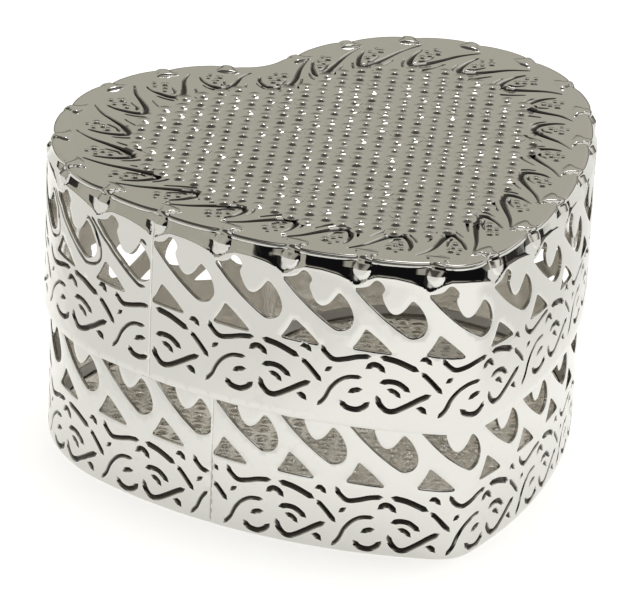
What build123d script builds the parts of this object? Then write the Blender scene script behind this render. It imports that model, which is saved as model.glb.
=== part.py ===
"""Heart-shaped trinket box of pressed, silver-plated sheet: a pierced base and a lid that lifts straight off.

The heart's tip points to -Y and its cleft to +Y. The origin is under the middle of the box, on the
surface that it stands on. Lengths along a wall run anticlockwise seen from above, from the heart's tip.
"""
from build123d import *
import os
from math import atan2, cos, hypot, pi, sin, sqrt

# ---- heart outline: outside of the lid's skirt, seen from above ----
WIDTH = 90.0               # across both lobes
LOBE_RADIUS = 28.3
TIP_RADIUS = 8.0
TIP_TO_LOBES = 45.8        # along Y, from the tip arc's centre to the lobe arcs' centres
SIDE_RADIUS = 84.0         # the long bowed sides
CLEFT_RADIUS = 6.0

# ---- heights ----
BASE_HEIGHT = 27.4         # of the base wall, from the table to its rim
LID_DEPTH = 28.6           # from the lid's top down to the skirt's edge
LID_OVERLAP = 5.0          # how far the closed lid reaches down over the base wall

# ---- sheet, shoulder and fits ----
SHEET = 0.6                # every pressed piece
SHOULDER_HEIGHT = 1.8      # sloping edge of the lid's top plate
SHOULDER_INSET = 1.6
LID_CLEARANCE = 0.45       # between the skirt's inside and the base wall's outside
BEARER_HEIGHT = 1.0        # square wire inside the lid, which lands on the base's rim
BEARER_OVERHANG = 0.2      # how far the wire reaches past the base wall's inside

# ---- solder ----
FILLET_LEG = 1.0           # along both plates' corners
FILLET_EDGE = 0.2          # thickness left at the fillet's feather edge
SEAM_SOLDER_WIDTH = 3.0    # behind each wall's butt seam
SEAM_SOLDER_THICKNESS = 0.25
SEAM_SOLDER_GAP = 0.4      # kept from the windows and from the solder or wire above and below
LID_SEAM_AFTER = 4.5       # window pitches from the first window back to the skirt's seam
BASE_SEAM_AFTER = 3.5      # the same for the base wall's seam

# ---- pierced pattern, the same die for both walls ----
WINDOW_PITCH = 11.3        # aimed at; a whole number of windows goes round
WINDOW_START = -1.0        # middle of the window nearest the tip
SKIRT_BAND = 1.4           # plain skirt between the windows and the shoulder
BASE_BAND = 3.2            # plain base wall between the windows and the rim
CUT_REACH = 5.0            # the punches pass this far to either side of the wall

# Each outline is a closed run of arcs: (start, point on the arc), in mm right of the window's middle seen
# from outside, and up from the fin window's foot. Both are drawn for DRAWN_PITCH.
DRAWN_PITCH = 11.3
WAVE_WINDOW = [
    ((-5.8, 10.5), (-4.3, 10.75)),   # pointed start, up to the curl
    ((-3.2, 11.3), (-2.2, 12.2)),    # over the curl
    ((-0.95, 11.0), (-1.1, 10.4)),   # down to the disc
    ((-1.5, 9.9), (0.6, 6.7)),       # under the disc
    ((3.2, 9.4), (4.8, 7.8)),        # down from the point
    ((5.7, 5.6), (5.2, 3.7)),        # round the wave's belly
    ((3.1, 2.95), (-1.4, 6.15)),     # back up the diagonal rib
]
FIN_WINDOW = [
    ((-3.7, 3.9), (-4.6, 1.9)),
    ((-5.7, 0.25), (-2.5, 0.05)),
    ((0.7, 0.0), (-1.3, 2.0)),
]

# ---- places that follow from the sizes above ----
BOX_HEIGHT = BASE_HEIGHT + LID_DEPTH - LID_OVERLAP
WINDOW_HEIGHT = max(height for arc in WAVE_WINDOW for _, height in arc)
BASE_OUTSIDE = SHEET + LID_CLEARANCE           # inwards from the skirt's outside
BASE_INSIDE = BASE_OUTSIDE + SHEET
LID_EDGE = BOX_HEIGHT - LID_DEPTH
SKIRT_TOP = BOX_HEIGHT - SHOULDER_HEIGHT
SKIRT_WINDOW_TOP = SKIRT_TOP - SKIRT_BAND
BASE_WINDOW_TOP = BASE_HEIGHT - BASE_BAND
BEARER_TOP = BASE_HEIGHT + BEARER_HEIGHT
BEARER_WIDTH = LID_CLEARANCE + SHEET + BEARER_OVERHANG


def outline_arcs(inset):
    """Arcs of the heart set inwards by inset, anticlockwise from the tip, as (centre, radius, start, turn)."""
    lobe, tip, side = LOBE_RADIUS - inset, TIP_RADIUS - inset, SIDE_RADIUS - inset
    cleft = CLEFT_RADIUS + inset
    lobe_x = WIDTH / 2 - LOBE_RADIUS
    length = TIP_RADIUS + TIP_TO_LOBES + LOBE_RADIUS
    lobe_y = length / 2 - LOBE_RADIUS
    tip_y = lobe_y - TIP_TO_LOBES
    # The side arc's centre lies on the far side of the heart, where both inner tangencies meet.
    to_lobe, to_tip = side - lobe, side - tip
    between = hypot(lobe_x, TIP_TO_LOBES)
    along = (to_tip ** 2 - to_lobe ** 2 + between ** 2) / (2 * between)
    aside = sqrt(to_tip ** 2 - along ** 2)
    way = (lobe_x / between, TIP_TO_LOBES / between)
    side_x = way[0] * along - way[1] * aside
    side_y = tip_y + way[1] * along + way[0] * aside
    tip_end = atan2(tip_y - side_y, -side_x)               # where the tip arc meets the right side
    lobe_start = atan2(lobe_y - side_y, lobe_x - side_x)   # where the side meets the right lobe
    cleft_y = lobe_y + sqrt((lobe + cleft) ** 2 - lobe_x ** 2)
    lobe_end = atan2(cleft_y - lobe_y, -lobe_x)
    cleft_start = lobe_end - pi
    right = [
        ((0, tip_y), tip, -pi / 2, tip_end + pi / 2),
        ((side_x, side_y), side, tip_end, lobe_start - tip_end),
        ((lobe_x, lobe_y), lobe, lobe_start, lobe_end - lobe_start),
        ((0, cleft_y), cleft, cleft_start, -pi / 2 - cleft_start),
    ]
    left = [((-x, y), r, pi - start - turn, turn) for (x, y), r, start, turn in reversed(right)]
    return right + left


def arc_point(arc, share):
    (x, y), radius, start, turn = arc
    angle = start + turn * share
    return x + radius * cos(angle), y + radius * sin(angle)


def heart(inset, height=0.0):
    """Flat heart face, inset from the skirt's outside."""
    edges = []
    for arc in outline_arcs(inset):
        points = [(*arc_point(arc, share), height) for share in (0, 0.5, 1)]
        edges.append(ThreePointArc(*points))
    return make_face(edges).face()


def slab(inset, low, high):
    return extrude(heart(inset, low), high - low, dir=(0, 0, 1))


def taper(low_inset, low, high_inset, high):
    """Solid with a heart below, another above, and a sloping edge between them."""
    ends = [heart(low_inset, low).outer_wire(), heart(high_inset, high).outer_wire()]
    return Solid.make_loft(ends, ruled=True)


def ring(outside, inside, low, high):
    return slab(outside, low, high) - slab(inside, low, high)


def wall_length(inset):
    return sum(abs(radius * turn) for _, radius, _, turn in outline_arcs(inset))


def wall_place(inset, along):
    """Point on the wall and its outward direction, at a length along the wall from the tip."""
    rest = along % wall_length(inset)
    for arc in outline_arcs(inset):
        (x, y), radius, start, turn = arc
        if rest <= abs(radius * turn):
            angle = start + turn * rest / abs(radius * turn)
            out = 1 if turn > 0 else -1
            point = (x + radius * cos(angle), y + radius * sin(angle))
            return point, (out * cos(angle), out * sin(angle))
        rest -= abs(radius * turn)
    return wall_place(inset, 0.0)


def wall_plane(inset, along, height):
    """Plane that touches the wall, its X to the right seen from outside, its Y up."""
    (x, y), (out_x, out_y) = wall_place(inset, along)
    return Plane(origin=(x, y, height), x_dir=(-out_y, out_x, 0), z_dir=(out_x, out_y, 0))


def punch(inset, along, foot, outline, stretch):
    """Cutter for one window: its outline is bent round the wall and pushed straight through."""
    (x, y), (out_x, out_y) = wall_place(inset, along)

    def bent(point):
        (px, py), _ = wall_place(inset, along + point[0] * stretch)
        return (-(px - x) * out_y + (py - y) * out_x, point[1])

    edges = []
    for number, (start, middle) in enumerate(outline):
        end = outline[(number + 1) % len(outline)][0]
        edges.append(ThreePointArc(bent(start), bent(middle), bent(end)))
    face = wall_plane(inset, along, foot) * make_face(edges).face()
    return extrude(face, CUT_REACH, dir=(out_x, out_y, 0), both=True)


def pitch_on(outside):
    """Actual pitch of the windows on a wall, the same number of them on both walls."""
    return wall_length(outside) / round(wall_length(0) / WINDOW_PITCH)


def pierced_wall(outside, low, high, window_top):
    """Heart-shaped wall of one sheet, with a wave window and a fin window in each pitch."""
    pitch = pitch_on(outside)
    punches = []
    for number in range(round(wall_length(outside) / pitch)):
        along = WINDOW_START + number * pitch
        for outline in (WAVE_WINDOW, FIN_WINDOW):
            foot = window_top - WINDOW_HEIGHT
            punches.append(punch(outside, along, foot, outline, pitch / DRAWN_PITCH))
    return ring(outside, outside + SHEET, low, high) - punches


def corner_solder(wall_inside, plate_side, free_side):
    """Fillet of solder where a plate meets the inside of a wall, thinning towards free_side."""
    block = slab(wall_inside, min(plate_side, free_side), max(plate_side, free_side))
    ends = [(wall_inside + FILLET_LEG, plate_side), (wall_inside + FILLET_EDGE, free_side)]
    ends.sort(key=lambda end: end[1])
    return block - taper(*ends[0], *ends[1])


def seam_solder(outside, seam_after, stretches):
    """Solder behind a butt seam, one strip for each (low, high) stretch of plain wall."""
    wall_inside = outside + SHEET
    along = (WINDOW_START - seam_after * pitch_on(outside)) * wall_length(wall_inside) / wall_length(outside)
    strips = []
    for low, high in stretches:
        layer = ring(wall_inside, wall_inside + SEAM_SOLDER_THICKNESS, low, high)
        window = wall_plane(wall_inside, along, low) * Box(
            SEAM_SOLDER_WIDTH, high - low, CUT_REACH, align=(Align.CENTER, Align.MIN, Align.CENTER)
        )
        strips.append(layer & window)
    return Compound(children=[solid for strip in strips for solid in strip.solids()])


def lid_top_plate():
    outer = taper(0, SKIRT_TOP, SHOULDER_INSET, BOX_HEIGHT)
    inner = taper(SHEET, SKIRT_TOP, SHOULDER_INSET + SHEET, BOX_HEIGHT - SHEET)
    return outer - inner


def build():
    lid_seam = [(BEARER_TOP + SEAM_SOLDER_GAP, SKIRT_WINDOW_TOP - WINDOW_HEIGHT - SEAM_SOLDER_GAP)]
    base_seam = [
        (SHEET + FILLET_LEG + SEAM_SOLDER_GAP, BASE_WINDOW_TOP - WINDOW_HEIGHT - SEAM_SOLDER_GAP),
        (BASE_WINDOW_TOP + SEAM_SOLDER_GAP, BASE_HEIGHT),
    ]
    return {
        "lid_top_plate": lid_top_plate(),
        "lid_skirt": pierced_wall(0, LID_EDGE, SKIRT_TOP, SKIRT_WINDOW_TOP),
        "lid_plate_solder": corner_solder(SHEET, SKIRT_TOP, SKIRT_TOP - FILLET_LEG),
        "lid_seam_solder": seam_solder(0, LID_SEAM_AFTER, lid_seam),
        "lid_bearer_wire": ring(SHEET, SHEET + BEARER_WIDTH, BASE_HEIGHT, BEARER_TOP),
        "base_wall": pierced_wall(BASE_OUTSIDE, 0, BASE_HEIGHT, BASE_WINDOW_TOP),
        "base_floor": slab(BASE_INSIDE, 0, SHEET),
        "base_floor_solder": corner_solder(BASE_INSIDE, SHEET, SHEET + FILLET_LEG),
        "base_seam_solder": seam_solder(BASE_OUTSIDE, BASE_SEAM_AFTER, base_seam),
    }


os.makedirs("parts", exist_ok=True)
for node, shape in build().items():
    export_step(shape, f"parts/{node}.step")
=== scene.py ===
"""Looks of the heart-shaped trinket box: pressed, pierced and silver-plated sheet on a pale floor.

Patterns are drawn flat in millimetres, then wrapped round the heart and made in metres.
"""
import bpy
import math
import numpy as np
from mathutils import Matrix, Vector
from mathutils.geometry import delaunay_2d_cdt
from mathutils.kdtree import KDTree


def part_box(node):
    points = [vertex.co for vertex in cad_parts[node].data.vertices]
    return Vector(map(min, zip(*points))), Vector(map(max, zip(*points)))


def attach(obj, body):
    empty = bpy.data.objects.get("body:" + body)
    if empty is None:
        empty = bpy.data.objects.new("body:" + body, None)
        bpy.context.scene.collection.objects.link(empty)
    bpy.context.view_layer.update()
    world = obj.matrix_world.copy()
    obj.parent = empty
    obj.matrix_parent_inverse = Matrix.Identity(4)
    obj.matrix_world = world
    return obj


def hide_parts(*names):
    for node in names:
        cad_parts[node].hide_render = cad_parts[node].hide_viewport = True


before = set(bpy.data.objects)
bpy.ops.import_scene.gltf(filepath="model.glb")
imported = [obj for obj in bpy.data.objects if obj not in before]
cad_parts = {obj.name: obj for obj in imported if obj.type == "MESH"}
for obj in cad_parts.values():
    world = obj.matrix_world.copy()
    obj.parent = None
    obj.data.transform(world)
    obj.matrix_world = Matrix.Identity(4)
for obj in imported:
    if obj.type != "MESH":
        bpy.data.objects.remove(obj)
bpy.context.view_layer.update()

MM = 0.001

# ---- sizes read from the frame, in millimetres ----
lid_high = np.array(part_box("lid_top_plate")[1]) / MM
skirt_low, skirt_high = (np.array(corner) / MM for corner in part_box("lid_skirt"))
base_low, base_high = (np.array(corner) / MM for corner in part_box("base_wall"))
floor_high = np.array(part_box("base_floor")[1]) / MM
WIDTH = skirt_high[0] - skirt_low[0]
LENGTH = skirt_high[1] - skirt_low[1]
TOP = lid_high[2]
SKIRT_EDGE = skirt_low[2]
SKIRT_TOP = skirt_high[2]
BASE_RIM = base_high[2]
BASE_INSET = (WIDTH - (base_high[0] - base_low[0])) / 2
SHEET = floor_high[2]

# ---- heart outline, as the frame's parts have it ----
LOBE_RADIUS = 28.3
TIP_RADIUS = 8.0
SIDE_RADIUS = 84.0
CLEFT_RADIUS = 6.0

# ---- pierced and embossed strips ----
WINDOWS = 24
DRAWN_PITCH = 11.3          # the windows' outlines are drawn for this pitch
SCROLL_PITCH = 18.1         # and the scrolls for this one
# Two runs of scrolls: start of the first and its pitch, end of the other and its pitch, from the seam.
LID_SCROLLS = (0.35, 18.6, 0.9, 18.1)
BASE_SCROLLS = (-7.0, 17.8, -12.8, 17.6)
WINDOW_START = -1.0         # middle of the window nearest the tip
LID_SEAM_AFTER = 4.5        # window pitches from that window back to the seam
BASE_SEAM_AFTER = 3.5
SKIRT_FOOT = 13.2           # the fin windows' foot above the skirt's edge
BASE_FOOT = 12.0
BASE_SCROLL_DROP = 2.2      # the base's scrolls sit this much lower than the skirt's
GROOVE_DEPTH = 0.40
GROOVE_STEP = 0.34          # between points along a groove
GROOVE_CLEAR = 0.12         # least metal between a groove and a window
EDGE_ROUND = 0.15           # rounding left by the punch and the polish
EDGE_DROP = 0.07            # and how far it takes the edge down
EDGE_STEP = 0.75            # between points along the strip's edges
ARC_STEP = 0.3              # and along the windows' edges
FILL = 0.95                 # and on the plain sheet
SEAM_DENT = 0.14            # the strip's ends are drawn in this far
BASE_TUCK = 0.028           # the base's skin lies this far inside the frame's wall
STRUCK_TWICE = 4            # waves before the lid's seam that have a second outline
UNEVEN_LENGTH = 34          # length of the uneven stretch before the lid's seam
UNEVEN_DEPTH = 0.055
BEAD_FOOT = 47.2            # height on the skirt from which its points are closer round the beads

# ---- lid top ----
CREST_LIP = 0.08            # the raised line along the wave's crest
SHOULDER_SLOPE = 0.36       # lean of the shoulder above the crest, inwards over upwards
SOLDER_COVER = 0.13         # skin and lip left outside the solder
FOLD_HEIGHT = 0.85          # start of the fold below the very top
FOLD_WIDTH = 0.75
RELIEF = 0.26               # beads, seeds and the floor's dimples stand this far above the flat
PETALS = 24
BEAD_START = 5.65           # first notch from the tip
BEAD_SWELL = 0.5            # beads swell this far out of the shoulder
BULB_HALF_WIDTH = 1.35
BULB_HALF_LENGTH = 1.8
BULB_OUTWARDS = 0.65        # middle of the bulb outside the flat's edge
FLARE = [(-0.5, 0.9), (0.6, 0.95), (1.4, 1.25), (2.3, 1.8)]     # depth on the flat, half width there
FIELD_SHARE = 0.73          # size of the dimpled heart to the whole
FLOOR_FIELD_SHARE = 0.92
LEAF_DEPTH = 0.42
BORDER_DEPTH = 10.5         # the border's drawings are this deep
DIMPLE_PITCH = 3.1
DIMPLE_ROW = 2.6
DIMPLE_RADIUS = 1.4
DIMPLE_HEIGHT = 0.19        # of the lid's dimples
UNDER_INSET = 2.4           # the plain back of the top plate starts this far inside the heart

# Windows: closed runs of arcs as (start, point on the arc), right of the middle and up from the foot.
WAVE_WINDOW = [
    ((-5.8, 10.5), (-4.3, 10.75)), ((-3.2, 11.3), (-2.2, 12.2)), ((-0.95, 11.0), (-1.1, 10.4)),
    ((-1.5, 9.9), (0.6, 6.7)), ((3.2, 9.4), (4.8, 7.8)), ((5.7, 5.6), (5.2, 3.7)),
    ((3.1, 2.95), (-1.4, 6.15)),
]
FIN_WINDOW = [((-3.7, 3.9), (-4.6, 1.9)), ((-5.7, 0.25), (-2.5, 0.05)), ((0.7, 0.0), (-1.3, 2.0))]
# Crest of the raised wave over each window, right of its middle and up from the fin window's foot.
CREST = [(-5.65, 10.9), (-4.8, 11.25), (-3.7, 12.1), (-2.3, 12.75), (0.5, 12.7), (3.0, 12.3), (4.6, 11.7),
         (5.65, 10.9)]
# Grooves of one scroll, as (half width, points), right of its start and up from the skirt's edge.
SCROLL = [
    (0.40, [(1.0, 12.5), (3.4, 12.0), (6.2, 10.8)]),
    (0.34, [(10.0, 13.1), (10.6, 12.1), (11.9, 11.2), (13.6, 11.5), (15.4, 12.1), (17.2, 12.4)]),
    (0.38, [(17.0, 10.5), (17.8, 11.1), (18.6, 11.0), (19.4, 10.2)]),
    (0.34, [(7.1, 10.3), (8.5, 8.9), (9.9, 7.3)]),
    (0.36, [(1.1, 8.2), (2.2, 8.5), (3.6, 8.3), (5.1, 7.2)]),
    (0.32, [(2.2, 7.1), (3.1, 6.8), (3.8, 6.1)]),
    (0.38, [(0.5, 5.6), (0.9, 4.5), (1.9, 3.5), (3.2, 3.5), (5.2, 4.7), (6.8, 5.8), (8.2, 6.6)]),
    (0.38, [(6.7, 4.3), (7.2, 4.2), (7.7, 3.7)]),
    (0.28, [(9.8, 3.1), (10.7, 4.3), (11.5, 6.1), (12.7, 7.6), (14.2, 8.5), (16.0, 8.7)]),
    (0.34, [(14.5, 6.0), (15.2, 6.4), (16.1, 6.6)]),
    (0.38, [(13.2, 4.1), (14.1, 3.3), (15.5, 3.1), (16.6, 3.6), (17.3, 4.4)]),
    (0.30, [(10.8, 9.1), (11.5, 9.7)]),
    (0.34, [(6.9, 12.6), (7.5, 12.8), (8.2, 12.1)]),
]
# Grooves of one border leaf, as (half widths at its ends, points), right of the notch along the rim
# and inwards from it.
LEAF = [
    ((0.16, 0.5), [(-2.8, 2.5), (0.1, 4.5), (2.6, 6.7), (4.8, 8.3), (6.8, 9.2)]),
    ((0.5, 0.2), [(6.8, 9.2), (8.2, 9.2), (8.9, 8.1), (8.7, 5.9), (7.8, 4.0)]),
    ((0.28, 0.16), [(7.2, 7.9), (5.9, 7.5), (4.6, 6.1)]),
    ((0.16, 0.28), [(1.3, 7.8), (3.4, 9.7), (5.3, 10.9)]),
    ((0.24, 0.16), [(9.9, 9.9), (10.3, 8.6), (10.2, 7.2)]),
]
# Small raised seeds inside each leaf, in the same places, with their sizes.
SEEDS = [(4.4, 4.6, 0.62), (5.7, 5.6, 0.5), (6.6, 4.5, 0.42), (6.9, 6.4, 0.55), (5.4, 3.5, 0.4)]

# ------------------------------------------------------------------ heart and flat drawing

def outline_arcs(inset):
    """Arcs of the heart set inwards, anticlockwise from the tip, as (centre, radius, start, turn)."""
    lobe, tip, side = LOBE_RADIUS - inset, TIP_RADIUS - inset, SIDE_RADIUS - inset
    cleft = CLEFT_RADIUS + inset
    lobe_x, lobe_y = WIDTH / 2 - LOBE_RADIUS, LENGTH / 2 - LOBE_RADIUS
    tip_y = TIP_RADIUS - LENGTH / 2
    rise = lobe_y - tip_y
    between = math.hypot(lobe_x, rise)
    along = ((side - tip) ** 2 - (side - lobe) ** 2 + between ** 2) / (2 * between)
    aside = math.sqrt((side - tip) ** 2 - along ** 2)
    side_x = (lobe_x * along - rise * aside) / between
    side_y = tip_y + (rise * along + lobe_x * aside) / between
    tip_end = math.atan2(tip_y - side_y, -side_x)
    lobe_start = math.atan2(lobe_y - side_y, lobe_x - side_x)
    cleft_y = lobe_y + math.sqrt((lobe + cleft) ** 2 - lobe_x ** 2)
    lobe_end = math.atan2(cleft_y - lobe_y, -lobe_x)
    right = [
        ((0, tip_y), tip, -math.pi / 2, tip_end + math.pi / 2),
        ((side_x, side_y), side, tip_end, lobe_start - tip_end),
        ((lobe_x, lobe_y), lobe, lobe_start, lobe_end - lobe_start),
        ((0, cleft_y), cleft, lobe_end - math.pi, math.pi / 2 - lobe_end),
    ]
    left = [((-x, y), r, math.pi - start - turn, turn) for (x, y), r, start, turn in reversed(right)]
    return right + left


def heart_length(inset):
    return sum(abs(radius * turn) for _, radius, _, turn in outline_arcs(inset))


def heart_points(inset, lengths):
    """Points and outward directions on the heart, at lengths along it from the tip."""
    rest = np.mod(np.asarray(lengths, float), heart_length(inset))
    points, outward = np.zeros((len(rest), 2)), np.zeros((len(rest), 2))
    before = 0.0
    for (x, y), radius, start, turn in outline_arcs(inset):
        size = abs(radius * turn)
        on = (rest >= before - 1e-9) & (rest <= before + size + 1e-9)
        angle = start + turn * (rest[on] - before) / size
        way = np.stack([np.cos(angle), np.sin(angle)], 1)
        points[on] = np.array([x, y]) + radius * way
        outward[on] = way * (1 if turn > 0 else -1)
        before += size
    return points, outward


def search_tree(points):
    """Search tree over flat points, for the one nearest a place."""
    tree = KDTree(len(points))
    for number, point in enumerate(points):
        tree.insert((point[0], point[1], 0), number)
    tree.balance()
    return tree


def arc_run(outline, stretch):
    """Closed outline from arcs given as (start, point on the arc), with its corners slightly rounded."""
    points = []
    for number, (start, middle) in enumerate(outline):
        a, b, c = (np.array(p, float) for p in (start, middle, outline[(number + 1) % len(outline)][0]))
        length = np.linalg.norm(b - a) + np.linalg.norm(c - b)
        for share in np.arange(0, 1, 1 / max(2, round(length / ARC_STEP))):
            # A quadratic through the three points stands for the arc.
            points.append(a * (1 - share) * (1 - 2 * share) + 4 * b * share * (1 - share)
                          + c * share * (2 * share - 1))
    points = np.array(points) * [stretch, 1]
    for _ in range(2):
        points = 0.25 * np.roll(points, 1, 0) + 0.5 * points + 0.25 * np.roll(points, -1, 0)
    return points


def smooth_run(points, step):
    """Open curve through given points (Catmull-Rom), cut at even steps."""
    p = np.array(points, float)
    p = np.vstack([2 * p[0] - p[1], p, 2 * p[-1] - p[-2]])
    fine = []
    for a, b, c, d in zip(p, p[1:], p[2:], p[3:]):
        for t in np.linspace(0, 1, 24, endpoint=False):
            fine.append(0.5 * (2 * b + (c - a) * t + (2 * a - 5 * b + 4 * c - d) * t ** 2
                               + (3 * b - a - 3 * c + d) * t ** 3))
    fine.append(p[-2])
    fine = np.array(fine)
    along = np.concatenate([[0], np.cumsum(np.linalg.norm(np.diff(fine, axis=0), axis=1))])
    even = np.linspace(0, along[-1], max(3, round(along[-1] / step) + 1))
    return np.stack([np.interp(even, along, fine[:, k]) for k in (0, 1)], 1)


def inside(points, loop):
    """Which points lie inside a closed loop."""
    found = np.zeros(len(points), bool)
    box = np.all((points >= loop.min(0)) & (points <= loop.max(0)), axis=1)
    x, y = points[box, 0][:, None], points[box, 1][:, None]
    ax, ay = loop[:, 0], loop[:, 1]
    bx, by = np.roll(ax, -1), np.roll(ay, -1)
    with np.errstate(divide="ignore", invalid="ignore"):
        cross = (ax - bx) * (y - by) / (ay - by) + bx
    found[box] = np.sum(((ay > y) != (by > y)) & (x < cross), axis=1) % 2 == 1
    return found


class Drawing:
    """A flat drawing: an outer loop, holes, grooves and plain fill, made into triangles."""

    def __init__(self, outer, holes=()):
        self.outer, self.holes = outer, list(holes)
        self.detail, self.marks, self.widths = [], [], []

    def groove(self, first, last, centre):
        """A groove along a centre line, its half width running from first to last."""
        way = np.gradient(centre, axis=0)
        way /= np.linalg.norm(way, axis=1)[:, None] + 1e-9
        side = np.stack([-way[:, 1], way[:, 0]], 1)
        width = np.linspace(first, last, len(centre))
        width[[0, -1]] *= 0.6
        for offset in (-1.3, -0.65, 0, 0.65, 1.3):
            self.detail.append(centre + side * (offset * width)[:, None])
        self.detail.append(np.array([centre[0] - way[0] * first * 1.2, centre[-1] + way[-1] * last * 1.2]))
        self.marks.append(centre)
        self.widths.append(width)

    def depth(self, points):
        """How deep the grooves are at each point, from 0 to 1; narrow ones are shallower."""
        if not self.marks:
            return np.zeros(len(points))
        marks, widths = np.vstack(self.marks), np.concatenate(self.widths)
        tree = search_tree(marks)
        found = [tree.find((x, y, 0)) for x, y in points]
        width = widths[[index for _, index, _ in found]]
        share = np.array([distance for _, _, distance in found]) / width
        return np.clip(1 - (share / 1.25) ** 2, 0, 1) ** 1.3 * np.clip(width / 0.36, 0, 1)

    def triangles(self, detailed=True, fill=FILL, inset=EDGE_ROUND):
        """Points and triangles; the loops' own points come first, in order."""
        loops = [self.outer, *self.holes]
        points = list(np.vstack(loops))
        edges, first = [], 0
        for loop in loops:
            count = len(loop)
            edges += [(first + k, first + (k + 1) % count) for k in range(count)]
            first += count
        extra = list(np.vstack(self.detail)) if detailed and self.detail else []
        if detailed:
            for number, loop in enumerate(loops):
                way = np.roll(loop, -1, 0) - np.roll(loop, 1, 0)
                way /= np.linalg.norm(way, axis=1)[:, None]
                area = np.sum(loop[:, 0] * np.roll(loop[:, 1], -1) - np.roll(loop[:, 0], -1) * loop[:, 1])
                turn = 1 if (area > 0) == (number == 0) else -1
                extra += list(loop + np.stack([-way[:, 1], way[:, 0]], 1) * turn * inset)
        low, high = self.outer.min(0), self.outer.max(0)
        rows = np.arange(low[1] + fill / 2, high[1], fill * 0.87)
        grid = [(x + (k % 2) * fill / 2, y) for k, y in enumerate(rows)
                for x in np.arange(low[0] + fill / 2, high[0], fill)]
        tree = search_tree(points + extra)
        grid = [p for p in grid if tree.find((p[0], p[1], 0))[2] > fill * 0.45]
        extra = np.array(extra + grid)
        keep = inside(extra, self.outer)
        for hole in self.holes:
            keep &= ~inside(extra, hole)
        points = np.vstack([points, extra[keep]])
        made = delaunay_2d_cdt([Vector(p) for p in points], edges, [], 0, 1e-5)
        flat = np.array([tuple(v) for v in made[0]])
        faces = np.array([f for f in made[2] if len(f) == 3])
        middle = flat[faces].mean(1)
        keep = inside(middle, self.outer)
        for hole in self.holes:
            keep &= ~inside(middle, hole)
        faces = faces[keep]
        a, b, c = (flat[faces[:, k]] for k in range(3))
        area = (b[:, 0] - a[:, 0]) * (c[:, 1] - a[:, 1]) - (c[:, 0] - a[:, 0]) * (b[:, 1] - a[:, 1])
        faces[area < 0] = faces[area < 0][:, ::-1]
        return flat, faces[np.abs(area) > 1e-9], edges


def linked(name, data):
    """New object in the scene."""
    made = bpy.data.objects.new(name, data)
    bpy.context.scene.collection.objects.link(made)
    return made


def mesh_object(name, points, faces, recess=None, inner=None):
    """Mesh object from arrays, with how deep each point lies and which faces are inside the box."""
    mesh = bpy.data.meshes.new(name)
    mesh.from_pydata(points.tolist(), [], faces)
    if recess is not None:
        depths = mesh.attributes.new("recess", "FLOAT", "POINT")
        depths.data.foreach_set("value", recess.astype(np.float32))
    if inner is not None:
        mesh.attributes.new("inner", "BOOLEAN", "FACE").data.foreach_set("value", inner)
    return linked(name, mesh)


def ripple(along, across):
    """Faint unevenness of thin pressed sheet, in millimetres."""
    return (0.012 * np.sin(along * 0.61 + 1.3 * np.sin(across * 0.23))
            + 0.010 * np.sin(across * 0.83 + along * 0.37)
            + 0.006 * np.sin(along * 1.7 - across * 1.1))


def closed_sheet(name, drawing, front_height, back_height, keep_above):
    """Flat closed sheet: a detailed front, a plain back and the cut edges between them.

    The front's edges are taken down a little, except above a height.
    """
    front, front_faces, edges = drawing.triangles()
    back, back_faces, _ = drawing.triangles(detailed=False)
    loop_count = len(edges)
    depth = drawing.depth(front)
    rise = front_height(front) - GROOVE_DEPTH * depth
    rise[:loop_count] -= EDGE_DROP * (front[:loop_count, 1] < keep_above)
    points = np.vstack([np.column_stack([front, rise]), np.column_stack([back, back_height(back)])])
    faces = front_faces.tolist() + (back_faces[:, ::-1] + len(front)).tolist()
    inner = [False] * len(front_faces) + [True] * len(back_faces)
    for a, b in edges:
        faces.append([b, a, a + len(front), b + len(front)])
        inner.append(False)
    # The back gets a fixed share of the recess darkening, so the cut edges darken towards it.
    recess = np.concatenate([depth, np.full(len(back), 0.3)])
    return mesh_object(name, points, faces, recess, inner)


# ------------------------------------------------------------------ node trees

class Wire:
    """A socket that takes arithmetic: each operator adds one Math node."""

    def __init__(self, graph, socket):
        self.graph, self.socket = graph, socket

    def _math(self, operation, *values):
        return self.graph.node("ShaderNodeMath", {"operation": operation}, dict(enumerate(values)))[0]

    def __add__(self, other):
        return self._math("ADD", self, other)

    def __sub__(self, other):
        return self._math("SUBTRACT", self, other)

    def __rsub__(self, other):
        return self._math("SUBTRACT", other, self)

    def __mul__(self, other):
        return self._math("MULTIPLY", self, other)

    def __truediv__(self, other):
        return self._math("DIVIDE", self, other)

    def __pow__(self, other):
        return self._math("POWER", self, other)

    def clamp(self):
        return self.graph.node("ShaderNodeClamp", {}, {"Value": self})[0]

    __radd__, __rmul__ = __add__, __mul__


class Made:
    """A node whose outputs are read as wires, by name or number."""

    def __init__(self, graph, node):
        self.graph, self.node = graph, node

    def __getitem__(self, key):
        return Wire(self.graph, self.node.outputs[key])


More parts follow.
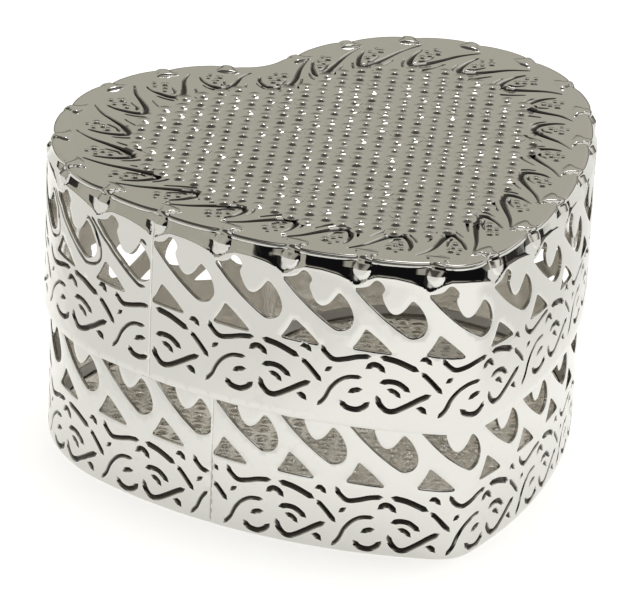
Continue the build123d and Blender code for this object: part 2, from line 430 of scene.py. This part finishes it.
class Graph:
    """Builds one node tree."""

    def __init__(self, tree):
        self.tree = tree

    def node(self, kind, settings=None, inputs=None):
        node = self.tree.nodes.new(kind)
        for name, value in (settings or {}).items():
            setattr(node, name, value)
        for key, value in (inputs or {}).items():
            if isinstance(value, Wire):
                self.tree.links.new(value.socket, node.inputs[key])
            else:
                node.inputs[key].default_value = value
        return Made(self, node)

    def mix(self, share, first, second):
        """A colour between two others."""
        ends = [colour if isinstance(colour, Wire) else (*colour, 1) for colour in (first, second)]
        return self.node("ShaderNodeMix", {"data_type": "RGBA"}, {0: share, 6: ends[0], 7: ends[1]})[2]

    def step(self, value, low, high):
        """A smooth step from 0 at low to 1 at high."""
        return self.node("ShaderNodeMapRange", {"interpolation_type": "SMOOTHSTEP"},
                         {"Value": value, "From Min": low, "From Max": high})[0]

    def noise(self, place, scale, detail, roughness=0.5):
        return self.node("ShaderNodeTexNoise", {}, {
            "Vector": place, "Scale": scale, "Detail": detail, "Roughness": roughness})[0]


def geometry_tree(name, inputs):
    """Empty geometry tree with named inputs, as (graph, wires by name)."""
    tree = bpy.data.node_groups.new(name, "GeometryNodeTree")
    tree.interface.new_socket("Geometry", in_out="OUTPUT", socket_type="NodeSocketGeometry")
    for label, kind in inputs:
        tree.interface.new_socket(label, in_out="INPUT", socket_type=kind)
    graph = Graph(tree)
    entry = graph.node("NodeGroupInput")
    return graph, {label: entry[label] for label, _ in inputs}


def finish_tree(graph, geometry):
    graph.node("NodeGroupOutput", {}, {"Geometry": geometry})


def baked(name, tree, carrier, values):
    """Runs a tree on a carrier object and keeps its result as a plain mesh object."""
    modifier = carrier.modifiers.new("made", "NODES")
    modifier.node_group = tree
    for item in tree.interface.items_tree:
        if item.in_out == "INPUT" and item.name in values:
            modifier[item.identifier] = values[item.name]
    bpy.context.view_layer.update()
    shown = carrier.evaluated_get(bpy.context.evaluated_depsgraph_get())
    mesh = bpy.data.meshes.new_from_object(shown)
    mesh.name = name
    bpy.data.objects.remove(carrier)
    return linked(name, mesh)


# ------------------------------------------------------------------ materials

def plated_silver(name, clean, dull, roughness, recess_darkening):
    """Polished plate: faint clouding, hairline scratches, and recesses darkened, partly as tarnish and
    partly as painted shade.
    """
    material = bpy.data.materials.new(name)
    material.use_nodes = True
    material.node_tree.nodes.clear()
    graph = Graph(material.node_tree)
    place = graph.node("ShaderNodeTexCoord")["Object"]
    cloud = graph.noise(place, 70, 4, 0.6)
    speck = graph.noise(place, 900, 3)
    turned = graph.node("ShaderNodeMapping", {}, {
        "Vector": place, "Rotation": (0.3, 0.2, 0.6), "Scale": (2600, 120, 900)})[0]
    hairs = graph.noise(turned, 1, 2)
    recess = graph.node("ShaderNodeAttribute", {"attribute_name": "recess"})["Fac"]
    # Recesses are painted darker, partly as tarnish and partly as painted shade; clouding and specks vary
    # the tone at random.
    tarnish_and_recess_shade = (recess * recess_darkening + (cloud - 0.5) * 0.22 + (speck - 0.64) * 0.3).clamp()
    colour = graph.mix(tarnish_and_recess_shade, clean, dull)
    rough = (roughness + tarnish_and_recess_shade * 0.22 + (hairs - 0.5) * 0.06 + (cloud - 0.5) * 0.05).clamp()
    bump = graph.node("ShaderNodeBump", {}, {
        "Strength": 0.12, "Distance": 0.00006, "Height": hairs * 0.5 + cloud * 1.5 + speck * 0.35})[0]
    shader = graph.node("ShaderNodeBsdfPrincipled", {}, {
        "Base Color": colour, "Metallic": 1.0, "Roughness": rough, "Normal": bump})[0]
    graph.node("ShaderNodeOutputMaterial", {}, {"Surface": shader})
    return material


# The recesses of the outside are painted near black, partly as tarnish and partly as painted shade. The
# inside is a brighter copy of the plate, its colour lifted as painted light on the shaded interior, and
# its recesses darken only a little.
silver = plated_silver("polished silver plate", (0.74, 0.735, 0.70), (0.07, 0.065, 0.058), 0.05, 1.7)
inner_silver = plated_silver("silver plate inside", (0.96, 0.945, 0.915), (0.80, 0.765, 0.70), 0.12, 0.2)
solder = plated_silver("dull solder", (0.62, 0.61, 0.59), (0.36, 0.34, 0.31), 0.34, 0.2)


# ------------------------------------------------------------------ wrapping and walls

def heart_curve(name, inset, start):
    """The heart as a closed curve in metres, beginning at a length from the tip."""
    count = 1440
    points, _ = heart_points(inset, start + np.arange(count) * heart_length(inset) / count)
    data = bpy.data.curves.new(name, "CURVE")
    data.dimensions = "3D"
    spline = data.splines.new("POLY")
    spline.points.add(count - 1)
    places = np.column_stack([points * MM, np.zeros(count), np.ones(count)])
    spline.points.foreach_set("co", places.ravel())
    spline.use_cyclic_u = True
    return linked(name, data)


def wrap_tree():
    """Bends a flat strip round a path: X runs along it, Y is height, Z stands out from the wall."""
    graph, entry = geometry_tree("bend strip round the heart", [
        ("Geometry", "NodeSocketGeometry"), ("Path", "NodeSocketObject"),
        ("Strip Length", "NodeSocketFloat"), ("Scale", "NodeSocketFloat"),
        ("Outside", "NodeSocketMaterial"), ("Inside", "NodeSocketMaterial")])
    path = graph.node("GeometryNodeObjectInfo", {}, {"Object": entry["Path"]})["Geometry"]
    flat = graph.node("ShaderNodeSeparateXYZ", {}, {0: graph.node("GeometryNodeInputPosition")[0]})
    sample = graph.node("GeometryNodeSampleCurve", {"mode": "FACTOR"},
                        {"Curves": path, "Factor": flat["X"] / entry["Strip Length"]})
    outward = graph.node("ShaderNodeVectorMath", {"operation": "CROSS_PRODUCT"},
                         {0: sample["Tangent"], 1: (0, 0, 1)})[0]
    outward = graph.node("ShaderNodeVectorMath", {"operation": "NORMALIZE"}, {0: outward})[0]
    stand = graph.node("ShaderNodeVectorMath", {"operation": "SCALE"},
                       {0: outward, "Scale": flat["Z"] * entry["Scale"]})[0]
    height = graph.node("ShaderNodeCombineXYZ", {}, {"Z": flat["Y"] * entry["Scale"]})[0]
    place = graph.node("ShaderNodeVectorMath", {"operation": "ADD"}, {0: sample["Position"], 1: stand})[0]
    place = graph.node("ShaderNodeVectorMath", {"operation": "ADD"}, {0: place, 1: height})[0]
    bent = graph.node("GeometryNodeSetPosition", {}, {"Geometry": entry["Geometry"], "Position": place})[0]
    real = graph.node("GeometryNodeRealizeInstances", {}, {"Geometry": bent})[0]
    shown = graph.node("GeometryNodeSetMaterial", {}, {"Geometry": real, "Material": entry["Outside"]})[0]
    inner = graph.node("GeometryNodeInputNamedAttribute", {"data_type": "BOOLEAN"}, {"Name": "inner"})
    inner = inner["Attribute"]
    shown = graph.node("GeometryNodeSetMaterial", {},
                       {"Geometry": shown, "Material": entry["Inside"], "Selection": inner})[0]
    finish_tree(graph, shown)
    return graph.tree


def scatter_tree():
    """Sets one shape on every point of a plan, each a little different in size, turn and lean."""
    graph, entry = geometry_tree("set raised marks on a plan", [
        ("Geometry", "NodeSocketGeometry"), ("Shape", "NodeSocketObject"), ("Smallest", "NodeSocketFloat"),
        ("Lean", "NodeSocketFloat"), ("Seed", "NodeSocketInt"), ("Material", "NodeSocketMaterial")])
    shape = graph.node("GeometryNodeObjectInfo", {}, {"Object": entry["Shape"]})["Geometry"]
    size = graph.node("GeometryNodeInputNamedAttribute", {"data_type": "FLOAT"}, {"Name": "size"})
    size = size["Attribute"]

    def chance(low, high, add):
        node = graph.node("FunctionNodeRandomValue", {"data_type": "FLOAT"}, {})
        for key, value in (("Min", low), ("Max", high), ("Seed", entry["Seed"] + add)):
            socket = [i for i in node.node.inputs if i.name == key and i.enabled][0]
            if isinstance(value, Wire):
                graph.tree.links.new(value.socket, socket)
            else:
                socket.default_value = value
        return Wire(graph, [o for o in node.node.outputs if o.enabled][0])

    lean = graph.node("ShaderNodeCombineXYZ", {}, {
        "X": entry["Lean"] * chance(-1.0, 1.0, 1), "Y": entry["Lean"] * chance(-1.0, 1.0, 2),
        "Z": chance(-0.5, 0.5, 3)})[0]
    wide = size * chance(0.94, 1.06, 4)
    grow = graph.node("ShaderNodeCombineXYZ", {}, {
        "X": wide, "Y": size * chance(0.94, 1.06, 5), "Z": size * chance(entry["Smallest"], 1.0, 6)})[0]
    turn = graph.node("FunctionNodeEulerToRotation", {}, {0: lean})[0]
    placed = graph.node("GeometryNodeInstanceOnPoints", {}, {
        "Points": entry["Geometry"], "Instance": shape, "Rotation": turn, "Scale": grow})[0]
    real = graph.node("GeometryNodeRealizeInstances", {}, {"Geometry": placed})[0]
    shown = graph.node("GeometryNodeSetMaterial", {}, {"Geometry": real, "Material": entry["Material"]})[0]
    finish_tree(graph, shown)
    return graph.tree


def smooth(piece):
    piece.data.shade_smooth()
    piece.data.set_sharp_from_angle(angle=math.radians(44))


def crest_height(along):
    """Height of the raised wave's crest at a length along the rim from the tip."""
    pitch = heart_length(0) / WINDOWS
    crest = np.array(CREST)
    right = (np.mod(along - WINDOW_START + pitch / 2, pitch) - pitch / 2) * DRAWN_PITCH / pitch
    return SKIRT_EDGE + SKIRT_FOOT + np.interp(right, crest[:, 0], crest[:, 1])


def from_notch(along):
    """Signed distance along the rim from the nearest notch between petals."""
    pitch = heart_length(0) / PETALS
    return np.mod(along - BEAD_START + pitch / 2, pitch) - pitch / 2


def bead(aside, inwards):
    """Share of the raised bead that laps each notch: a round bulb on the shoulder flaring on the flat."""
    outwards = inwards + BULB_OUTWARDS
    bulb = np.clip(1 - (aside / BULB_HALF_WIDTH) ** 2 - (outwards / BULB_HALF_LENGTH) ** 2, 0, 1) ** 0.75
    half = np.interp(inwards, *zip(*FLARE))
    flare = np.clip(1 - np.abs(aside / half) ** 3, 0, 1) ** 0.6
    flare *= np.sqrt(np.clip((inwards + 0.6) / 0.6, 0, 1) * np.clip((2.7 - inwards) / 0.8, 0, 1))
    return np.maximum(bulb, 0.85 * flare)


def shoulder(along, height, swell=BEAD_SWELL):
    """How far the lid's surface lies inside the heart at a height: lean, crest and bead."""
    crest, fold = crest_height(along), TOP - FOLD_HEIGHT
    over = height - crest
    lip = CREST_LIP * np.exp(-(over / 0.2) ** 2)
    # The skirt stays outside the solder below its top, and the plate makes up the rest of the lean.
    slope = np.minimum(SHOULDER_SLOPE, (SHEET - SOLDER_COVER) / (SKIRT_TOP - crest))
    lean = slope * (np.sqrt(over ** 2 + 0.01) + over) / 2
    above_skirt = np.clip((height - SKIRT_TOP) / (fold - SKIRT_TOP), 0, 1)
    lean += (SHOULDER_SLOPE - slope) * (fold - crest) * above_skirt
    return CREST_LIP - lip + lean - swell * bead(from_notch(along), height - TOP + FOLD_HEIGHT)


def strip_edge(length, low, high):
    """Outline of a flat strip, with closer points along its top, and the heights of those at its ends."""
    steps = round(length / EDGE_STEP)
    rows = np.linspace(low, high, round((high - low) / EDGE_STEP) + 1)
    along = np.linspace(0, length, steps + 1)
    fine = np.linspace(0, length, steps * 3 + 1)
    outer = np.vstack([
        np.column_stack([along[:-1], np.full(steps, low)]),
        np.column_stack([np.full(len(rows) - 1, length), rows[:-1]]),
        np.column_stack([fine[:0:-1], np.full(len(fine) - 1, high)]),
        np.column_stack([np.zeros(len(rows) - 1), rows[:0:-1]])])
    return outer, rows


def punched_windows(length, foot):
    """The wave window and the fin window of each repeat, in order along the strip."""
    pitch = length / WINDOWS
    holes = []
    for number in range(WINDOWS):
        for outline in (WAVE_WINDOW, FIN_WINDOW):
            hole = arc_run(outline, pitch / DRAWN_PITCH) + [(number + 0.5) * pitch, foot]
            hole[:, 0] = np.clip(hole[:, 0], 0.3, length - 0.3)
            holes.append(hole)
    return holes


def press_scrolls(drawing, windows, scrolls, length, cleft, foot):
    """Two runs of scrolls that meet at the cleft, broken off where they would reach a window."""
    first, pitch_on, last, pitch_back = scrolls
    back_from = np.arange(length + last, cleft - pitch_back, -pitch_back)
    tiles = [(at, pitch_on, 0.5, cleft - 0.6) for at in np.arange(first, cleft, pitch_on)]
    tiles += [(at, pitch_back, cleft + 0.6, length - 0.5) for at in back_from]
    for start, tile, low_end, high_end in tiles:
        for half_width, points in SCROLL:
            centre = smooth_run(points, GROOVE_STEP) * [tile / SCROLL_PITCH, 1] + [start, foot]
            room = half_width + GROOVE_CLEAR
            clear = np.array([windows.find((x, y, 0))[2] > room for x, y in centre])
            clear &= (centre[:, 0] > low_end) & (centre[:, 0] < high_end)
            if np.count_nonzero(clear) > max(2, 0.4 * len(centre)):
                drawing.groove(half_width, half_width, centre[clear])


def strike_again(drawing, windows, holes, length, high):
    """A faint second outline, a little larger and aside, round the last wave windows before the seam."""
    for loop in holes[-2 * STRUCK_TWICE::2]:
        struck = (loop - loop.mean(0)) * 1.26 + loop.mean(0) + [-0.4, 0.3]
        clear = np.array([windows.find((x, y, 0))[2] > 0.42 for x, y in struck])
        clear &= (struck[:, 1] < high - 3.2) & (struck[:, 0] < length - 1)
        for hole in holes:
            clear &= ~inside(struck, hole)
        for run in np.split(np.arange(len(struck)), np.flatnonzero(np.diff(clear.astype(int))) + 1):
            if clear[run[0]] and len(run) > 4:
                drawing.groove(0.24, 0.2, struck[run])


def follow_shoulder(drawing, length, seam, high):
    """Closer points along the crest and round each bead."""
    pitch = length / WINDOWS
    run = np.arange(0.5, length - 0.5, 0.4)
    for offset in (-0.4, -0.2, 0, 0.2, 0.4, 0.7):
        drawing.detail.append(np.column_stack([run, crest_height(run + seam) + offset]))
    grid = np.meshgrid(np.arange(-1.75, 1.8, 0.2), np.arange(BEAD_FOOT, high, 0.2))
    aside, up = (part.ravel() for part in grid)
    for number in range(WINDOWS):
        at = np.mod(BEAD_START - seam + number * pitch + aside, length)
        drawing.detail.append(np.column_stack([at, up])[(at > 0.5) & (at < length - 0.5)])


def pierced_strip(name, inset, seam_after, low, high, foot, scrolls, scroll_drop, shouldered):
    """One wall: windows punched, scrolls pressed, the strip bent round the heart to a butt seam."""
    length = heart_length(inset)
    pitch = length / WINDOWS
    seam = WINDOW_START * pitch / DRAWN_PITCH - seam_after * pitch
    outer, rows = strip_edge(length, low, high)
    holes = punched_windows(length, foot)
    drawing = Drawing(outer, holes)
    windows = search_tree(np.vstack(holes))
    press_scrolls(drawing, windows, scrolls, length, length / 2 - seam, low - scroll_drop)
    if shouldered:
        strike_again(drawing, windows, holes, length, high)
    for end in (0.2, length - 0.2, 0.45, length - 0.45):
        drawing.detail.append(np.column_stack([np.full(len(rows) - 2, end), rows[1:-1]]))
    if shouldered:
        follow_shoulder(drawing, length, seam, high)

    def stand(points, swell=BEAD_SWELL):
        """How far the skin stands out from the wall's heart."""
        x, y = points.T
        edge = np.minimum(x, length - x)
        calm = np.clip(edge / 3, 0, 1) * np.clip((high - y) / 3, 0, 1)
        rise = ripple(x, y) * calm - (0.0 if shouldered else BASE_TUCK)
        rise -= SEAM_DENT * np.clip(1 - edge / 0.4, 0, 1) ** 2
        if shouldered:
            rise -= shoulder(x + seam, y, swell)
            # The stretch before the lid's seam was pressed twice and is uneven.
            uneven = np.clip((x - length + UNEVEN_LENGTH) / 12, 0, 1) * np.clip((length - 2 - x) / 6, 0, 1)
            uneven *= np.clip((high - 1.5 - y) / 3, 0, 1)
            waves = UNEVEN_DEPTH * np.sin(0.9 * x + 1.6 * np.sin(0.8 * y))
            waves *= np.sin(1.2 * y + 1.1 * np.sin(0.7 * x))
            rise += uneven * (waves - UNEVEN_DEPTH)
        else:
            # The base's seam is torn below its windows.
            torn = np.clip((12.5 - y) / 2, 0, 1) * np.abs(np.sin(y * 2.1) + 0.4 * np.sin(y * 5.3))
            rise -= 0.3 * torn * np.clip(1 - edge / 0.6, 0, 1)
        return rise

    def back(points):
        return stand(points, 0) - SHEET + 0.03

    flat = closed_sheet(name + "_flat", drawing, stand, back, high - 0.01 if shouldered else high + 1)
    path = heart_curve(name + "_path", inset, seam)
    made = baked(name, wrap_tree(), flat, {
        "Path": path, "Strip Length": length, "Scale": MM, "Outside": silver, "Inside": inner_silver})
    bpy.data.objects.remove(path)
    smooth(made)
    return made


# ------------------------------------------------------------------ heart plates

def domes(name, plan, sizes, level, relief, seed, material):
    """Small raised domes on a plan of points, made by scattering one dome."""
    rings, around = 4, 14
    points, faces = [(0, 0, relief * MM)], []
    for ring in range(1, rings + 1):
        share = ring / rings
        rise = relief * math.cos(share * math.pi / 2) ** 1.5 - 0.012 * share
        for step in range(around):
            turn = 2 * math.pi * step / around
            x = DIMPLE_RADIUS * share * math.cos(turn) * MM
            y = DIMPLE_RADIUS * share * math.sin(turn) * MM
            points.append((x, y, rise * MM))
    for step in range(around):
        faces.append([0, 1 + step, 1 + (step + 1) % around])
        for ring in range(1, rings):
            low, high = 1 + (ring - 1) * around, 1 + ring * around
            faces.append([low + step, high + step, high + (step + 1) % around, low + (step + 1) % around])
    shape = mesh_object(name + "_shape", np.array(points), faces)
    shape.data.shade_smooth()
    carrier = mesh_object(name + "_plan", np.column_stack([plan, np.full(len(plan), level)]) * MM, [])
    marked = carrier.data.attributes.new("size", "FLOAT", "POINT")
    marked.data.foreach_set("value", np.array(sizes, np.float32))
    made = baked(name, scatter_tree(), carrier, {
        "Shape": shape, "Smallest": 0.9, "Lean": 0.025, "Seed": seed, "Material": material})
    bpy.data.objects.remove(shape)
    made.data.shade_smooth()
    return made


def dimple_plan(share):
    """Staggered rows of places within the heart drawn at a share of its size."""
    heart = heart_points(0, np.arange(720) * heart_length(0) / 720)[0] * share
    reach = np.arange(-16, 17)
    plan = np.array([((c + (r % 2) / 2) * DIMPLE_PITCH, r * DIMPLE_ROW) for r in reach for c in reach])
    return plan[inside(plan, heart)]


def rim_place(along, inwards):
    """Place on the border at a length along the rim and a depth in from the flat's edge."""
    at, out = heart_points(0, along)
    at = at - out * 1.6
    return at + at * (FIELD_SHARE - 1) * (np.asarray(inwards) / BORDER_DEPTH)[:, None]


def lid_top():
    """Pressed heart: flat with its grooved leaves, folded edge, petals, beads and shoulder."""
    length = heart_length(0)
    pitch = length / PETALS
    count = PETALS * 60
    along = BEAD_START + np.arange(count) * length / count
    edge, outward = heart_points(0, along)
    aside = from_notch(along)
    fold, flat_level = TOP - FOLD_HEIGHT, TOP - RELIEF
    start = SHOULDER_SLOPE * (fold - crest_height(along)) + CREST_LIP
    start = (start + np.roll(start, 3) + np.roll(start, -3)) / 3
    rim = edge - outward * (start + FOLD_WIDTH)[:, None]
    drawing = Drawing(rim)
    for number in range(PETALS):
        for (first, last), points in LEAF:
            run = smooth_run(points, GROOVE_STEP) + [BEAD_START + number * pitch, 0]
            drawing.groove(first, last, rim_place(run[:, 0], run[:, 1]))
    near = np.array([(a, d) for a in np.arange(-2.4, 2.45, 0.2) for d in np.arange(0.2, 2.4, 0.2)])
    for number in range(PETALS):
        at, out = heart_points(0, near[:, 0] + BEAD_START + number * pitch)
        place = np.interp(np.mod(near[:, 0] + number * pitch, length), along - BEAD_START, start)
        drawing.detail.append(at - out * (place + FOLD_WIDTH + near[:, 1])[:, None])
    top, flat_faces, _ = drawing.triangles(fill=1.0, inset=0.2)
    tree = search_tree(rim)
    nearest = [tree.find((x, y, 0)) for x, y in top]
    at_rim = aside[[n[1] for n in nearest]]
    deep = np.array([n[2] for n in nearest])
    depth = drawing.depth(top)
    rise = flat_level - LEAF_DEPTH * depth + RELIEF * bead(at_rim, deep + 0.7) * (deep < 3.5)
    rise += ripple(top[:, 0] * 0.7, top[:, 1] * 0.7) * np.clip(deep / 4, 0, 1)
    points, recess, faces = [np.column_stack([top, rise])], [depth], flat_faces.tolist()
    ring, total = np.arange(count), len(top)

    def add_band():
        """Faces between the last ring of points and the next one."""
        nonlocal ring
        new = np.arange(count) + total
        faces.extend(np.column_stack([ring, new, np.roll(new, -1), np.roll(ring, -1)]).tolist())
        ring = new

    def add_row(inset, height):
        nonlocal total
        heights = np.broadcast_to(height, (count,))
        points.append(np.column_stack([edge - outward * inset[:, None], heights]))
        recess.append(np.zeros(count))
        add_band()
        total += count

    # Rows down the fold, then down the shoulder, then under the plate.
    for t in (0.12, 0.26, 0.4, 0.54, 0.68, 0.84):
        inset = start + (1 - t) ** 2 * FOLD_WIDTH + 2 * t * (1 - t) * SHOULDER_SLOPE * -0.4
        height = (1 - t * t) * flat_level + t * t * fold
        lift = bead(aside, np.full(count, 0.7 * (1.0 - t))) * (RELIEF + (BEAD_SWELL - RELIEF) * t)
        tilt = math.pi / 2 * (1 - t)
        add_row(inset - lift * math.cos(tilt), height + lift * math.sin(tilt))
    for height in np.linspace(fold, SKIRT_TOP, 6):
        add_row(shoulder(along, np.full(count, height)), height)
    add_row(shoulder(along, np.full(count, SKIRT_TOP)) + SHEET, SKIRT_TOP)
    add_row(np.full(count, UNDER_INSET), fold - SHEET)
    back, back_faces, _ = Drawing(edge - outward * UNDER_INSET).triangles(detailed=False, fill=2.0)
    points.append(np.column_stack([back, np.full(len(back), fold - SHEET + 0.02)]))
    recess.append(np.full(len(back), 0.3))
    add_band()
    faces.extend((back_faces[:, ::-1] + total).tolist())
    made = mesh_object("pressed_lid_top", np.vstack(points) * MM, faces, np.concatenate(recess))
    made.data.materials.append(silver)
    made.data.materials.append(inner_silver)
    slots = np.zeros(len(faces), np.int32)
    slots[-len(back_faces) - count:] = 1
    made.data.polygons.foreach_set("material_index", slots)
    smooth(made)
    plan = dimple_plan(FIELD_SHARE)
    marks = domes("lid_dimples", plan, np.ones(len(plan)), flat_level, DIMPLE_HEIGHT, 4, silver)
    starts = BEAD_START + np.arange(PETALS) * pitch
    seeds = np.array([(start_at + a, d, size) for start_at in starts for a, d, size in SEEDS])
    places = rim_place(seeds[:, 0], seeds[:, 1])
    seeds = domes("border_seeds", places, seeds[:, 2], flat_level, RELIEF, 9, silver)
    return made, marks, seeds


def base_plate():
    """Dimpled heart floor of the base."""
    inset = BASE_INSET + SHEET
    outer, _ = heart_points(inset, np.arange(480) * heart_length(inset) / 480)
    level = SHEET - RELIEF
    top, top_faces, edges = Drawing(outer).triangles(fill=2.2)
    back, back_faces, _ = Drawing(outer).triangles(detailed=False, fill=2.2)
    faces = top_faces.tolist() + (back_faces[:, ::-1] + len(top)).tolist()
    for a, b in edges:
        faces.append([b, a, a + len(top), b + len(top)])
    rise = level + ripple(top[:, 0], top[:, 1]) * 0.8
    points = np.vstack([np.column_stack([top, rise]), np.column_stack([back, np.zeros(len(back))])])
    made = mesh_object("base_floor_plate", points * MM, faces, np.zeros(len(points)))
    made.data.materials.append(inner_silver)
    smooth(made)
    plan = dimple_plan(FLOOR_FIELD_SHARE)
    return made, domes("base_floor_dimples", plan, np.ones(len(plan)), level, RELIEF, 2, inner_silver)


skirt = pierced_strip("pierced_lid_skirt", 0.0, LID_SEAM_AFTER, SKIRT_EDGE, SKIRT_TOP,
                      SKIRT_EDGE + SKIRT_FOOT, LID_SCROLLS, 0.0, True)
base = pierced_strip("pierced_base_wall", BASE_INSET, BASE_SEAM_AFTER, 0.0, BASE_RIM,
                     BASE_FOOT, BASE_SCROLLS, BASE_SCROLL_DROP, False)
top, top_marks, top_seeds = lid_top()
bottom, bottom_marks = base_plate()
for piece, body, node in ((skirt, "lid", "lid_skirt"), (base, "base", "base_wall"),
                          (top, "lid", "lid_top_plate"), (top_marks, "lid", "lid_top_plate"),
                          (top_seeds, "lid", "lid_top_plate"), (bottom, "base", "base_floor"),
                          (bottom_marks, "base", "base_floor")):
    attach(piece, body)
    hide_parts(node)

for node in ("lid_bearer_wire", "lid_plate_solder", "lid_seam_solder",
             "base_floor_solder", "base_seam_solder"):
    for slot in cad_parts[node].material_slots:
        slot.material = inner_silver if node == "lid_bearer_wire" else solder


# ------------------------------------------------------------------ camera, floor and light

AZIMUTH, ELEVATION, ROLL = (math.radians(v) for v in (-25.8, 27.2, 2.5))
TARGET = Vector((0.1, 11.65, 19.8)) * MM
DISTANCE = 860 * MM
LENS = 302


def long_camera():
    """Camera with a long lens, before the box and to its left, looking down and slightly rolled."""
    across = math.cos(ELEVATION)
    back = Vector((math.sin(AZIMUTH) * across, -math.cos(AZIMUTH) * across, math.sin(ELEVATION)))
    right = Vector((0, 0, 1)).cross(back).normalized()
    up = back.cross(right)
    turned_right = right * math.cos(ROLL) + up * math.sin(ROLL)
    turned_up = up * math.cos(ROLL) - right * math.sin(ROLL)
    data = bpy.data.cameras.new("camera")
    data.lens = LENS
    data.clip_end = 50
    made = linked("camera", data)
    axes = Matrix((turned_right, turned_up, back)).transposed().to_4x4()
    made.matrix_world = Matrix.Translation(TARGET + back * DISTANCE) @ axes
    bpy.context.scene.camera = made


def floor():
    """Pale sheet under the box; in reflections it is darker at the sides and fades out far off."""
    mesh = bpy.data.meshes.new("floor")
    sides, radius, drop = 64, 4, 0.0001
    angles = np.linspace(0, 2 * math.pi, sides, endpoint=False)
    rim = [(radius * math.cos(a), radius * math.sin(a), -drop) for a in angles]
    mesh.from_pydata(rim, [], [list(range(sides))])
    made = linked("floor", mesh)
    material = bpy.data.materials.new("pale paper")
    material.use_nodes = True
    material.node_tree.nodes.clear()
    graph = Graph(material.node_tree)
    place = graph.node("ShaderNodeTexCoord")["Object"]
    far = graph.node("ShaderNodeVectorMath", {"operation": "LENGTH"}, {0: place})["Value"]
    fade = graph.step(far, 0.36, 0.62)
    mirrored = graph.node("ShaderNodeLightPath")["Is Glossy Ray"]
    grain = graph.noise(place, 60, 4)
    sideways = graph.node("ShaderNodeSeparateXYZ", {}, {0: place})["X"]
    shade = graph.step((sideways * sideways) ** 0.5, 0.045, 0.09)
    dark = ((fade * 0.93 + 0.07 + shade * 0.20) * mirrored).clamp()
    colour = graph.mix(dark, (0.93, 0.93, 0.92), (0.01, 0.01, 0.01))
    shader = graph.node("ShaderNodeBsdfPrincipled", {}, {
        "Base Color": colour, "Roughness": 0.85 + grain * 0.1, "Specular IOR Level": 0.1,
        "Emission Color": colour, "Emission Strength": 0.62})[0]
    graph.node("ShaderNodeOutputMaterial", {}, {"Surface": shader})
    mesh.materials.append(material)


def lamp(name, toward, energy, angle):
    """A sun lamp that shines from a direction."""
    data = bpy.data.lights.new(name, "SUN")
    data.energy = energy
    data.angle = math.radians(angle)
    made = linked(name, data)
    made.rotation_euler = Vector(toward).to_track_quat("Z", "Y").to_euler()
    return made


long_camera()
floor()
overhead = lamp("overhead_lamp", (0.05, 0.12, 1), 1.1, 40)
overhead.visible_glossy = False
lamp("back_lamp", (0.37, 0.70, 0.61), 0.018, 4)


def studio():
    """Surroundings: grey walls, and a large soft light overhead with a smaller one at the right."""
    world = bpy.data.worlds.new("studio")
    bpy.context.scene.world = world
    world.use_nodes = True
    world.node_tree.nodes.clear()
    graph = Graph(world.node_tree)
    way = graph.node("ShaderNodeTexCoord")["Generated"]
    part = graph.node("ShaderNodeSeparateXYZ", {}, {0: way})
    x, y, z = part["X"], part["Y"], part["Z"]
    step = graph.step
    drift = graph.noise(way, 2.5, 2)
    left = step(x * -1.0, 0.40, 0.60)
    front = step(y * -1.0, 0.38, 0.48) * (1 - step(z, 0.30, 0.44) * 0.8)
    aside = ((x - 0.27) ** 2.0 + (y - 0.13) ** 2.0) ** 0.5
    above = (1 - step(aside, 0.26, 0.44)) * step(z, 0.0, 0.1)
    above = (above + step(x, 0.55, 0.75) * step(z, 0.22, 0.40) * (1 - step(y, 0.15, 0.35))).clamp()
    # It is dark before the box, low down except at the left, and overhead round the light.
    gap = (1 - step(z, 0.02, 0.38)) * (1 - left) * 0.72
    surround = step(z, 0.60, 0.70)
    dark = 1 - (1 - gap) * (1 - front) * (1 - surround * 0.85)
    grey = graph.mix(step(drift, 0.35, 0.65), (0.52, 0.49, 0.445), (0.46, 0.45, 0.385))
    room = graph.mix(dark, grey, (0.006, 0.006, 0.007))
    lit = graph.mix(above, room, (0.86, 0.84, 0.80))
    seen = graph.node("ShaderNodeLightPath")["Is Camera Ray"]
    colour = graph.mix(seen, lit, (0.9, 0.9, 0.89))
    background = graph.node("ShaderNodeBackground", {}, {"Color": colour, "Strength": 1.0})[0]
    graph.node("ShaderNodeOutputWorld", {}, {"Surface": background})


studio()
bpy.context.scene.view_settings.view_transform = "Standard"
bpy.context.scene.cycles.glossy_bounces = 10
